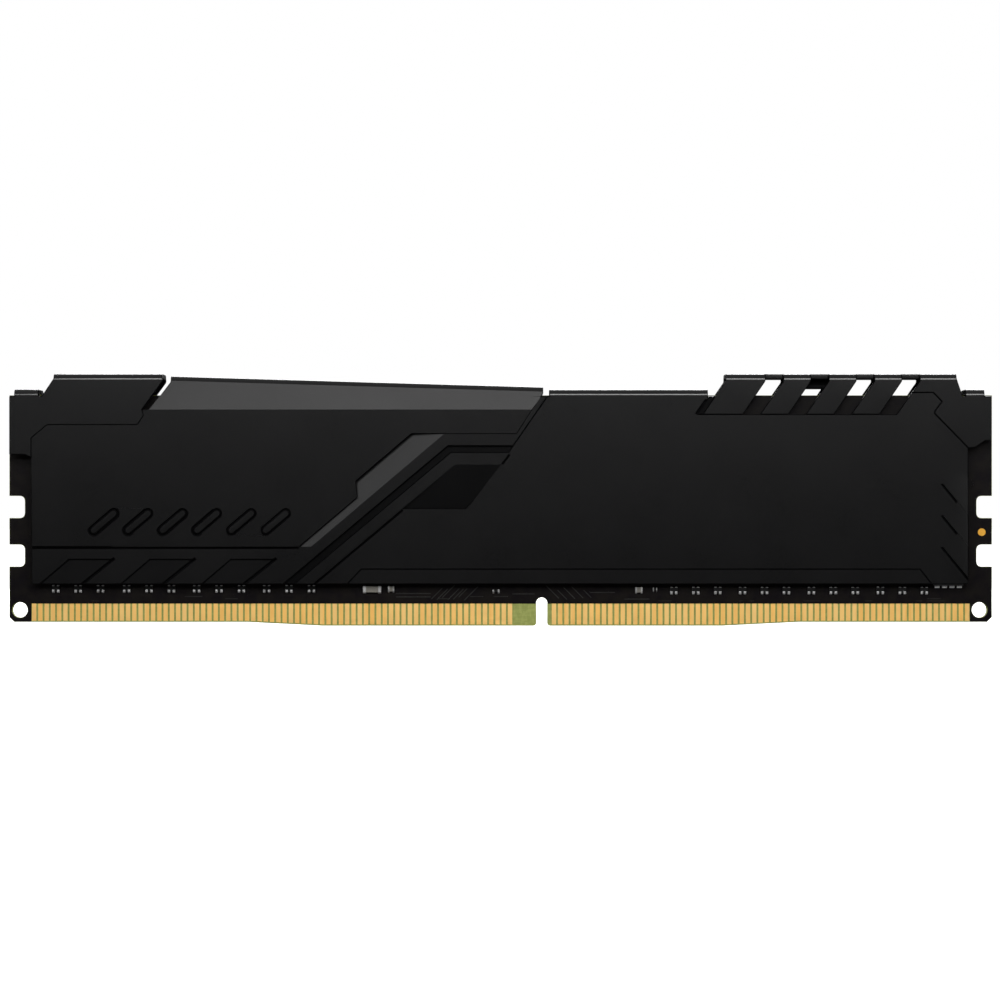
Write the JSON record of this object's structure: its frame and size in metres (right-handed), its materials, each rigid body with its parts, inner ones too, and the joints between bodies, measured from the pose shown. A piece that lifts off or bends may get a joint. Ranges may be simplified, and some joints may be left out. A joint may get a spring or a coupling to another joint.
{
  "type": "memory module",
  "caption": "Long flat memory module: a circuit board with a gold contact edge, key notch and latch notches, held between two black faceted heat spreader plates.",
  "frame": {"origin": "under the middle of the module, on the lowest edge of the circuit board, halfway through its thickness", "axes": "+X along the module towards the fins, +Y towards the rear plate, +Z from the contact edge up to the lips"},
  "size_m": [0.1334, 0.0072, 0.0341],
  "materials": {
    "board": "satin",
    "spreader": "satin",
    "gold": "satin",
    "chip": "matte",
    "thermal_pad": "matte",
    "resistor": "satin",
    "capacitor": "satin"
  },
  "bodies": {
    "root": {"bulk_capacitor": "capacitor", "calibration_resistor": "resistor", "centre_resistor": "resistor", "circuit_board": "board", "clock_capacitor": "capacitor", "configuration_chip": "chip", "filter_capacitor": "capacitor", "front_heat_spreader": "spreader", "front_left_contacts": "gold", "front_memory_chip_1": "chip", "front_memory_chip_2": "chip", "front_memory_chip_3": "chip", "front_memory_chip_4": "chip", "front_memory_chip_5": "chip", "front_memory_chip_6": "chip", "front_memory_chip_7": "chip", "front_memory_chip_8": "chip", "front_right_contacts": "gold", "front_thermal_pad": "thermal_pad", "left_resistor_pack_1": "resistor", "left_resistor_pack_2": "resistor", "left_resistor_pack_3": "resistor", "left_resistor_pack_4": "resistor", "left_resistor_pack_5": "resistor", "left_resistor_pack_6": "resistor", "left_resistor_pack_7": "resistor", "left_resistor_pack_8": "resistor", "left_resistor_pack_9": "resistor", "left_resistor_pack_10": "resistor", "left_resistor_pack_11": "resistor", "left_resistor_pack_12": "resistor", "rear_heat_spreader": "spreader", "rear_left_contacts": "gold", "rear_memory_chip_1": "chip", "rear_memory_chip_2": "chip", "rear_memory_chip_3": "chip", "rear_memory_chip_4": "chip", "rear_memory_chip_5": "chip", "rear_memory_chip_6": "chip", "rear_memory_chip_7": "chip", "rear_memory_chip_8": "chip", "rear_right_contacts": "gold", "rear_thermal_pad": "thermal_pad", "right_resistor_pack_1": "resistor", "right_resistor_pack_2": "resistor", "right_resistor_pack_3": "resistor", "right_resistor_pack_4": "resistor", "right_resistor_pack_5": "resistor", "right_resistor_pack_6": "resistor", "right_resistor_pack_7": "resistor", "right_resistor_pack_8": "resistor", "right_resistor_pack_9": "resistor", "right_resistor_pack_10": "resistor", "right_resistor_pack_11": "resistor", "right_resistor_pack_12": "resistor", "test_pad": "gold"}
  },
  "joints": []
}
